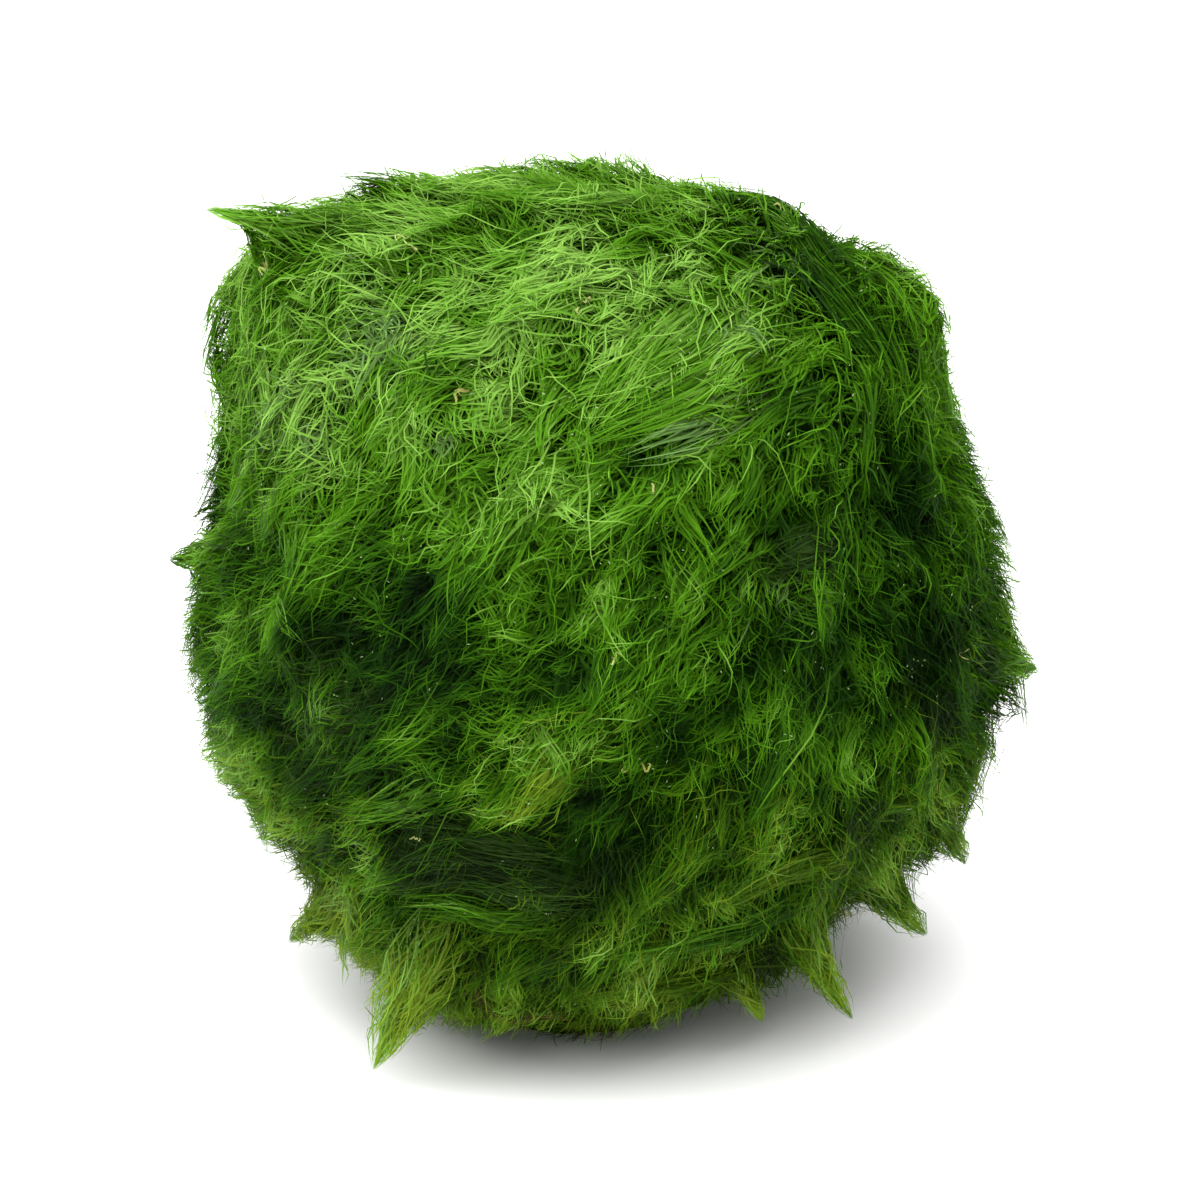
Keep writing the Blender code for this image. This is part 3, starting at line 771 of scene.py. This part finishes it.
def loose_strands(random):
    """Long single filaments that lie loose on the coat."""
    starts = strewn_directions(LOOSE_COUNT, 1.0, random)
    count = len(starts)
    places, shares = single_paths(
        random, starts, 8, spread=40.0, keep=0.85, lengths=(3.0, 8.0), size=fineness(starts)
    )
    level = random.uniform(-0.5, 0.35, (count, 1))
    tip = random.uniform(-0.6, 0.6, (count, 1))
    heights = rise(shares, depth=-1.6, level=level, tip=tip) + weave(random, shares, 0.4)
    return places, heights, coat_keys(places, heights, random.normal(0.14, 0.08, count), random)


def fuzz_strands(random):
    """Short fine filaments that stand off the coat."""
    starts = strewn_directions(FUZZ_COUNT, 0.6, random)
    count = len(starts)
    places, shares = single_paths(random, starts, 4, spread=50.0, keep=0.9, lengths=(0.8, 2.8))
    heights = -1.3 + shares * random.uniform(1.2, 2.4, (count, 1))
    return places, heights, coat_keys(places, heights, random.normal(0.08, 0.05, count), random)


def glint_strands(random):
    """Short pale bits of filament, painted glints where the coat catches the light."""
    starts = strewn_directions(GLINT_COUNT, 2.0, random)
    starts = starts[pattern(starts, 5.0, GLINT_PLACE) > 0.0]
    count, points = len(starts), 3
    bends = np.broadcast_to(random.uniform(0, 2 * np.pi, (count, 1)), (count, points))
    places, _ = streamlines(starts, bends, random.uniform(0.07, 0.24, count))
    heights = np.broadcast_to(random.uniform(-0.5, 0.3, (count, 1)), (count, points))
    tones = np.broadcast_to(random.uniform(0.0, 1.0, (count, 1)), (count, points))
    return places, heights, in_band("glint", tones)


def curl_strands(random):
    """Pale dead filaments curled up on the coat, a few at each place and some elsewhere."""
    spots = np.array([on_ball(*spot) for spot in CURLS])
    others = spread_directions(12)[:9]  # all but the lowest three
    starts = np.concatenate([np.repeat(spots, CURL_STRANDS, axis=0), others])
    starts = unit(starts + random.normal(0.0, 0.015, starts.shape))
    count, points = len(starts), 9
    turns = random.choice((-1.0, 1.0), (count, 1)) * random.uniform(1.0, 4.0, (count, 1))
    shares = shares_of(count, points)
    bends = random.uniform(0, 2 * np.pi, (count, 1)) + turns * shares
    bends = bends + meander(random, count, points, spread=50.0, keep=0.5)
    places, _ = streamlines(starts, bends, random.uniform(0.6, 1.5, count))
    heights = random.uniform(-0.3, 0.1, (count, 1)) + weave(random, shares, 0.3)
    tones = np.broadcast_to(random.uniform(0.1, 0.9, (count, 1)), (count, points))
    return places, heights, in_band("dead", tones)


def body_lock(start, length, tip_lift):
    """The centre line of a lock that follows the combing over the body, and its normals."""
    direction = start
    heading = unit(read_grid(FLOW, start))
    points, normals = [], []
    last_share = 0.0
    for share, _ in LOCK_RINGS:
        if share > last_share:
            step = length * (share - last_share) / read_grid(BODY, direction)
            direction = unit(direction + heading * step)
            heading = tangent(heading * LOCK_STIFFNESS + read_grid(FLOW, direction), direction)
        last_share = share
        lift = (tip_lift + LOCK_ROOT_DEPTH) * share**LOCK_LIFT_POWER - LOCK_ROOT_DEPTH
        points.append(direction * (read_grid(BODY, direction) + lift))
        normals.append(direction)
    return np.array(points), np.array(normals)


def body_locks():
    """Each lock of the solid: centre line, normals, width, thickness, filaments, extra tone."""
    random = np.random.default_rng(LOCK_SEED)
    frames = []
    for start in spread_directions(LOCK_COUNT):
        length = random.uniform(*LOCK_LENGTH)
        width = random.uniform(*LOCK_WIDTH)
        points, normals = body_lock(start, length, random.uniform(*LOCK_TIP_LIFT))
        if points[:, 2].min() >= LOWEST_LOCK:
            strands = LOCK_STRANDS * width / LOCK_STRANDS_WIDTH
            frames.append((points, normals, width, LOCK_THICKNESS, strands, LOCK_BRIGHTER))
    return frames


def body_tufts():
    """Each tuft of the solid, with the same values as a lock."""
    middle_of_ball = np.array([0.0, 0.0, CENTRE_HEIGHT])
    part = np.array(LOCK_RINGS)[:, :1]
    frames = []
    for root, tip, width in TUFTS:
        start_direction = on_ball(*root)
        end = np.array(tip) - middle_of_ball
        middle_direction = unit(start_direction * (1 - TUFT_BEND) + unit(end) * TUFT_BEND)
        start = start_direction * (read_grid(BODY, start_direction) - TUFT_ROOT_DEPTH)
        middle = middle_direction * (read_grid(BODY, middle_direction) + TUFT_BEND_LIFT)
        points = start * (1 - part) ** 2 + middle * 2 * part * (1 - part) + end * part**2
        lowest = LOWEST_TUFT - CENTRE_HEIGHT + LOCK_THICKNESS * (1 - part[:, 0])
        points[:, 2] = np.maximum(points[:, 2], lowest)
        strands = TUFT_STRANDS * width / TUFT_STRANDS_WIDTH
        # Painted light: the low tufts lighter
        brighter = np.interp(tip[2], *TUFT_PAINTED_LIGHT)
        frames.append((points, unit(points), width, TUFT_THICKNESS, strands, brighter))
    return frames


def in_disc(random, count):
    """Random places in a round cross-section, thinner towards its rim."""
    turn = random.uniform(0, 2 * np.pi, (count, 1))
    radius = np.minimum(np.abs(random.normal(0.0, ROUND_SPREAD, (count, 1))), ROUND_RIM)
    return radius * np.cos(turn), radius * np.sin(turn)


def lock_strands(random, frames, first_share, last_share, tip_share):
    """Filaments in each lock or tuft, which start and end at random shares of its length."""
    all_points, tones = [], []
    ring_shares, ring_widths = np.array(LOCK_RINGS).T
    for centre_line, normals, width, thickness, strands, brighter in frames:
        count = int(strands)
        first = random.uniform(0.0, first_share, (count, 1))
        last = random.uniform(last_share, 1.0, (count, 1))
        last = np.where(random.random((count, 1)) < tip_share, 1.0, last)
        way = shares_of(count, 6)
        shares = first + (last - first) * way
        line, outward = (
            np.stack([np.interp(shares, ring_shares, column) for column in rings.T], -1)
            for rings in (centre_line, normals)
        )
        along = np.gradient(line, axis=1)
        side = unit(np.cross(along, outward))
        outward = unit(np.cross(side, along))
        profile = np.interp(shares, ring_shares, ring_widths) / 2
        loose = np.minimum(1.0, 0.25 + 3.0 * (1.0 - shares))
        root_a, root_b = in_disc(random, count)
        tip_a, tip_b = in_disc(random, count)
        a = (root_a + (tip_a - root_a) * way) * width * profile + weave(random, way, 0.5) * loose
        b = (root_b + (tip_b - root_b) * way) * thickness * profile
        b = b + weave(random, way, 0.3) * loose
        all_points.append(line + side * a[..., None] + outward * b[..., None])
        # Painted shade along the groove
        groove = GROOVE_SHADE * np.exp(-(((root_a[:, 0] - GROOVE_PLACE) / GROOVE_WIDTH) ** 2))
        tones.append(random.normal(0.0, 0.08, count) + random.normal(brighter, 0.06) + groove)
    points = np.concatenate(all_points)
    places = unit(points)
    heights = np.linalg.norm(points, axis=-1) - read_grid(SURFACE, places)
    return places, heights, coat_keys(places, heights, np.concatenate(tones), random)


def coat_locks(random):
    return lock_strands(random, body_locks(), first_share=0.35, last_share=0.5, tip_share=0.2)


def coat_tufts(random):
    return lock_strands(random, body_tufts(), first_share=0.7, last_share=0.6, tip_share=0.25)


def ribbons(points, widths, random):
    """The two edges of each ribbon, side by side at each of its points."""
    points = points.copy()
    points[..., 2] = np.maximum(points[..., 2], LOWEST_FILAMENT)
    along = unit(np.gradient(points, axis=1))
    outward = unit(points - CENTRE)
    side = unit(np.cross(along, outward))
    lifted = np.cross(side, along)
    roll = random.uniform(-ROLL, ROLL, (len(points), 1, 1))
    across = side * np.cos(roll) + lifted * np.sin(roll)
    half = across * widths[..., None] / 2
    return np.stack([points - half, points + half], axis=2)


def add_object(name, data):
    """A new object with this data, in the scene."""
    made = bpy.data.objects.new(name, data)
    bpy.context.scene.collection.objects.link(made)
    return made


def strand_mesh(name, points, width, keys, random):
    """A joined mesh of tapering ribbons, whose map holds their colour and share of length."""
    count, steps = points.shape[:2]
    taper = np.interp(np.linspace(0, 1, steps), *TAPER)
    widths = width * random.uniform(*WIDTH_SPREAD, (count, 1)) * taper[None, :]
    widths = widths * fineness(unit(points[:, 0] - CENTRE))[:, None]
    corners = ribbons(points, widths, random)
    vertices = np.concatenate([corners[:, :-1].reshape(count, -1, 3), points[:, -1:]], 1)
    vertices[..., 2] = np.maximum(vertices[..., 2], LOWEST_FILAMENT / 2)
    per_strand = vertices.shape[1]
    quads = np.array([[2 * k, 2 * k + 1, 2 * k + 3, 2 * k + 2] for k in range(steps - 2)]).ravel()
    loops = np.concatenate([quads, [per_strand - 3, per_strand - 2, per_strand - 1]])
    starts = np.concatenate([np.arange(steps - 2) * 4, [4 * (steps - 2)]])
    shift = np.arange(count)[:, None]
    mesh = bpy.data.meshes.new(name)
    mesh.vertices.add(count * per_strand)
    mesh.vertices.foreach_set("co", (vertices * MM).astype(np.float32).ravel())
    mesh.loops.add(count * len(loops))
    mesh.loops.foreach_set("vertex_index", (loops + shift * per_strand).astype(np.int32).ravel())
    mesh.polygons.add(count * len(starts))
    mesh.polygons.foreach_set("loop_start", (starts + shift * len(loops)).astype(np.int32).ravel())
    vertex_side = np.concatenate([np.tile([-1.0, 1.0], steps - 1), [0.0]]) * KEY_HALF_WIDTH
    point_of = np.concatenate([np.repeat(np.arange(steps - 1), 2), [steps - 1]])
    u = np.clip(keys, 0.01, 0.99)[:, point_of[loops]] + vertex_side[loops][None, :]
    v = np.broadcast_to(V_ROOT + V_LENGTH * point_of[loops] / (steps - 1), u.shape)
    layer = mesh.uv_layers.new(name="OFBake")
    layer.data.foreach_set("uv", np.stack([u, v], -1).astype(np.float32).ravel())
    mesh.update(calc_edges=True)
    mesh.shade_smooth()
    return add_object(name, mesh)


def ramp(tree, stops, factor):
    """A colour ramp with these stops, read by the factor."""
    node = tree.nodes.new("ShaderNodeValToRGB")
    elements = node.color_ramp.elements
    while len(elements) < len(stops):
        elements.new(0.5)
    for element, (position, colour) in zip(elements, stops):
        element.position = position
        element.color = (*colour, 1.0)
    tree.links.new(factor, node.inputs["Fac"])
    return node.outputs["Color"]


def grey(stops):
    """Stops of a ramp from a brightness at each position."""
    return tuple((position, (value, value, value)) for position, value in stops)


def filament_material():
    material = bpy.data.materials.new("moss filaments")
    material.use_nodes = True
    tree = material.node_tree
    link = tree.links.new
    surface = tree.nodes["Principled BSDF"]
    coordinates = tree.nodes.new("ShaderNodeUVMap")
    coordinates.uv_map = "OFBake"
    parts = tree.nodes.new("ShaderNodeSeparateXYZ")
    link(coordinates.outputs["UV"], parts.inputs["Vector"])
    palette = ramp(tree, PALETTE, parts.outputs["X"])
    # The painted shade from root to tip, which darkens the roots and lightens the tips
    along = ramp(tree, grey(PAINTED_SHADE_ALONG), parts.outputs["Y"])
    mixed = tree.nodes.new("ShaderNodeMix")
    mixed.data_type = "RGBA"
    mixed.blend_type = "MULTIPLY"
    mixed.inputs["Factor"].default_value = 1.0
    link(palette, mixed.inputs["A"])
    link(along, mixed.inputs["B"])
    colour = mixed.outputs["Result"]
    link(colour, surface.inputs["Base Color"])
    surface.inputs["Roughness"].default_value = 0.5
    surface.inputs["IOR"].default_value = 1.15
    surface.inputs["Specular IOR Level"].default_value = 0.5
    through = tree.nodes.new("ShaderNodeBsdfTranslucent")
    link(colour, through.inputs["Color"])
    blend = tree.nodes.new("ShaderNodeMixShader")
    blend.inputs["Fac"].default_value = 0.50
    link(surface.outputs["BSDF"], blend.inputs[1])
    link(through.outputs["BSDF"], blend.inputs[2])
    link(blend.outputs["Shader"], tree.nodes["Material Output"].inputs["Surface"])
    return material


def mat_material():
    material = bpy.data.materials.new("moss mat")
    material.use_nodes = True
    tree = material.node_tree
    surface = tree.nodes["Principled BSDF"]
    place = tree.nodes.new("ShaderNodeTexCoord")
    spots = tree.nodes.new("ShaderNodeTexNoise")
    spots.inputs["Scale"].default_value = 420.0
    spots.inputs["Detail"].default_value = 6.0
    tree.links.new(place.outputs["Object"], spots.inputs["Vector"])
    # Painted shade: the mat is coloured as dark as the shade deep in the coat
    colour = ramp(tree, MAT_COLOURS, spots.outputs["Fac"])
    tree.links.new(colour, surface.inputs["Base Color"])
    surface.inputs["Roughness"].default_value = 0.9
    surface.inputs["Specular IOR Level"].default_value = 0.02
    return material


def mat_mesh():
    """The felted mat under the filaments, flat where it rests."""
    shape = bmesh.new()
    bmesh.ops.create_icosphere(shape, subdivisions=6, radius=1.0)
    directions = unit(np.array([vertex.co[:] for vertex in shape.verts]))
    depth = MAT_DEPTH * np.clip((directions[:, 2] - MAT_FOOT) / MAT_FOOT_SPAN, 0.0, 1.0)
    reach = read_grid(SURFACE, directions) - depth
    reach = reach + MAT_RELIEF * pattern(directions, MAT_RELIEF_SIZE, 0.0)
    places = CENTRE + directions * reach[:, None]
    places[:, 2] = np.maximum(places[:, 2], LOWEST_MAT)
    for vertex, place in zip(shape.verts, places * MM):
        vertex.co = place
    mesh = bpy.data.meshes.new("moss_mat")
    shape.to_mesh(mesh)
    shape.free()
    mesh.shade_smooth()
    return add_object("moss_mat", mesh)


LAYERS = (  # name, width in mm, and how its filaments grow
    ("undercoat", 0.22, undercoat_strands),
    ("felt", 0.145, felt_strands),
    ("clumps", 0.155, clump_strands),
    ("feathers", 0.135, feather_strands),
    ("loose", 0.115, loose_strands),
    ("fuzz", 0.09, fuzz_strands),
    ("locks", 0.145, coat_locks),
    ("tufts", 0.15, coat_tufts),
    ("strokes", 0.155, stroke_strands),
    ("curls", 0.19, curl_strands),
    ("glints", 0.085, glint_strands),
)


def make_moss():
    """The mat in place of the solid, and the filaments, layer by layer."""
    random = np.random.default_rng(SEED)
    filament = filament_material()
    mat = mat_mesh()
    mat.data.materials.append(mat_material())
    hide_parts("moss_ball")
    pieces = [mat]
    for name, width, grow in LAYERS:
        places, heights, keys = grow(random)
        points = surface_points(places, heights)
        strand_triangles = 2 * points.shape[1] - 3
        most = PIECE_TRIANGLES // strand_triangles
        for index, first in enumerate(range(0, len(points), most)):
            part = slice(first, first + most)
            piece = strand_mesh(f"moss_{name}_{index}", points[part], width, keys[part], random)
            piece.data.materials.append(filament)
            pieces.append(piece)
    for piece in pieces:
        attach(piece, "root")


def make_stage():
    mesh = bpy.data.meshes.new("floor")
    mesh.from_pydata(FLOOR_CORNERS, [], [(0, 1, 2, 3)])
    floor = add_object("floor", mesh)
    material = bpy.data.materials.new("pale floor")
    material.use_nodes = True
    surface = material.node_tree.nodes["Principled BSDF"]
    surface.inputs["Base Color"].default_value = (0.82, 0.82, 0.81, 1.0)
    surface.inputs["Roughness"].default_value = 0.9
    mesh.materials.append(material)


def make_light(name, place, size, power):
    light = bpy.data.lights.new(name, "AREA")
    light.size = size
    light.energy = power
    lamp = add_object(name, light)
    lamp.location = place
    aim = Vector(LIGHT_AIM) - lamp.location
    lamp.rotation_euler = aim.to_track_quat("-Z", "Y").to_euler()


def make_lights():
    world = bpy.data.worlds.new("studio")
    bpy.context.scene.world = world
    world.use_nodes = True
    background = world.node_tree.nodes["Background"]
    background.inputs["Color"].default_value = (1.0, 1.0, 1.0, 1.0)
    background.inputs["Strength"].default_value = WORLD_STRENGTH
    for light in LIGHTS:
        make_light(*light)


def make_camera():
    """A camera at the photograph's angle, framed on the ball."""
    camera_data = bpy.data.cameras.new("camera")
    camera = add_object("camera", camera_data)
    aim = Vector(CENTRE * MM)
    away = Vector((0.0, -math.cos(VIEW_TILT), math.sin(VIEW_TILT)))
    camera.location = aim + away * CAMERA_DISTANCE * MM
    camera.rotation_euler = (-away).to_track_quat("-Z", "Y").to_euler()
    camera_data.sensor_width = SENSOR_WIDTH
    camera_data.lens = SENSOR_WIDTH * CAMERA_DISTANCE / (WINDOW_PIXELS / PIXELS_PER_MM)
    bpy.context.scene.camera = camera


make_camera()
make_stage()
make_lights()
make_moss()
bpy.context.scene.view_settings.view_transform = "Standard"
